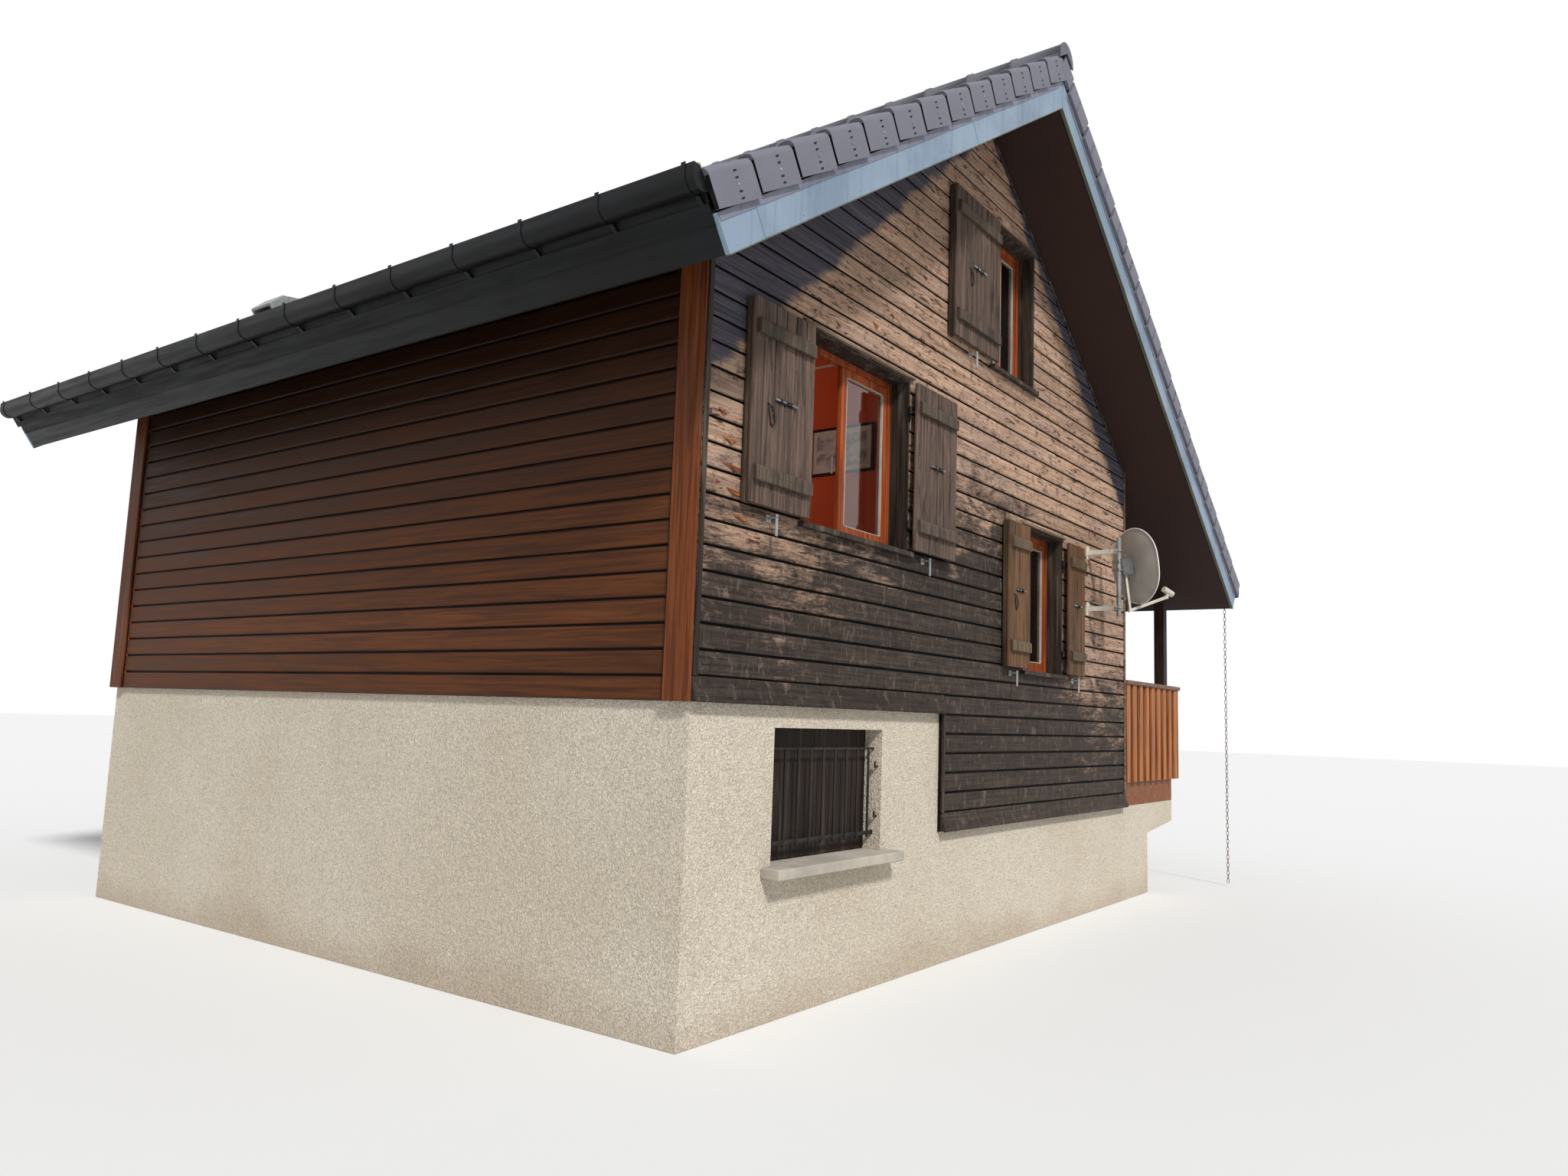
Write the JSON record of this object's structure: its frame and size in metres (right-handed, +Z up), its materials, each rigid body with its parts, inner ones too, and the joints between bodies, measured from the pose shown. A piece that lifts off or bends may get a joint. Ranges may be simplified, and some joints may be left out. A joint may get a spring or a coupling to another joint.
{
  "type": "alpine chalet",
  "caption": "Timber house with an attic on a rendered base, a tiled gable roof with uneven eaves, a side balcony, hinged window shutters and a wall dish.",
  "frame": {"origin": "middle of the timber storey's plan, on the underside of the masonry base", "axes": "+X along the gables towards the balcony, +Y from the front gable with the dish to the rear gable, +Z up"},
  "size_m": [9.4098, 7.6078, 6.8251],
  "materials": {
    "render": "roughcast lime render",
    "concrete": "bare concrete",
    "cladding": "weathered grooved boards",
    "planks": "sawn and brushed",
    "interior": "painted boards",
    "panel": "boarded and insulated",
    "soffit": "dark painted panels",
    "tile": "weathered concrete tile",
    "verge_metal": "weathered sheet",
    "eave_metal": "dark satin",
    "iron": "rusted",
    "window_wood": "stained",
    "glass": "clear",
    "shutter_wood": "weathered boards",
    "dark_wood": "dark stain",
    "zinc": "galvanised",
    "dish_metal": "dull paint"
  },
  "bodies": {
    "house": {"front_base_wall": "render", "rear_base_wall": "render", "left_base_wall": "render", "right_base_wall": "render", "middle_base_wall": "concrete", "cellar_floor": "concrete", "uphill_slab": "concrete", "balcony_slab": "concrete", "attic_floor": "planks", "front_wall": "cladding", "rear_wall": "cladding", "left_wall": "cladding", "right_wall": "cladding", "partition_wall": "interior", "corner_boards": "dark_wood", "ridge_beam": "planks", "rafters": "planks", "roof_panels": "panel", "ceiling_lining": "interior", "soffits": "soffit", "verge_boards": "verge_metal", "fascias": "eave_metal", "roof_tiles": "tile", "verge_tiles": "tile", "ridge_tiles": "tile", "roof_vent": "zinc", "gutters": "eave_metal", "rain_chain": "iron", "window_linings": "window_wood", "window_frames": "window_wood", "window_sashes": "window_wood", "window_glass": "glass", "shutter_hooks": "iron", "rear_shutters": "shutter_wood", "cellar_sills": "concrete", "cellar_grilles": "iron", "cellar_shutters": "dark_wood", "balcony_deck": "planks", "balcony_rim": "dark_wood", "balcony_posts": "dark_wood", "balustrade": "planks", "handrail": "dark_wood", "dish": "dish_metal", "dish_mount": "zinc", "dish_arm": "zinc"},
    "big_shutter_left": {"big_shutter_left": "shutter_wood"},
    "big_shutter_right": {"big_shutter_right": "shutter_wood"},
    "attic_shutter": {"attic_shutter": "shutter_wood"},
    "small_shutter_left": {"small_shutter_left": "shutter_wood"},
    "small_shutter_right": {"small_shutter_right": "shutter_wood"}
  },
  "joints": [
    {"name": "big_shutter_left_hinge", "type": "hinge", "parent": "house", "child": "big_shutter_left", "pos_m": [-2.342, -3.176, 2.769], "axis": [0, 0, 1], "range_deg": [0, 180]},
    {"name": "big_shutter_right_hinge", "type": "hinge", "parent": "house", "child": "big_shutter_right", "pos_m": [-1.132, -3.176, 2.769], "axis": [0, 0, 1], "range_deg": [-180, 0]},
    {"name": "attic_shutter_hinge", "type": "hinge", "parent": "house", "child": "attic_shutter", "pos_m": [0.169, -3.176, 4.423], "axis": [0, 0, 1], "range_deg": [0, 180]},
    {"name": "small_shutter_left_hinge", "type": "hinge", "parent": "house", "child": "small_shutter_left", "pos_m": [0.797, -3.176, 2.086], "axis": [0, 0, 1], "range_deg": [0, 180]},
    {"name": "small_shutter_right_hinge", "type": "hinge", "parent": "house", "child": "small_shutter_right", "pos_m": [1.614, -3.176, 2.086], "axis": [0, 0, 1], "range_deg": [-180, 0]}
  ]
}
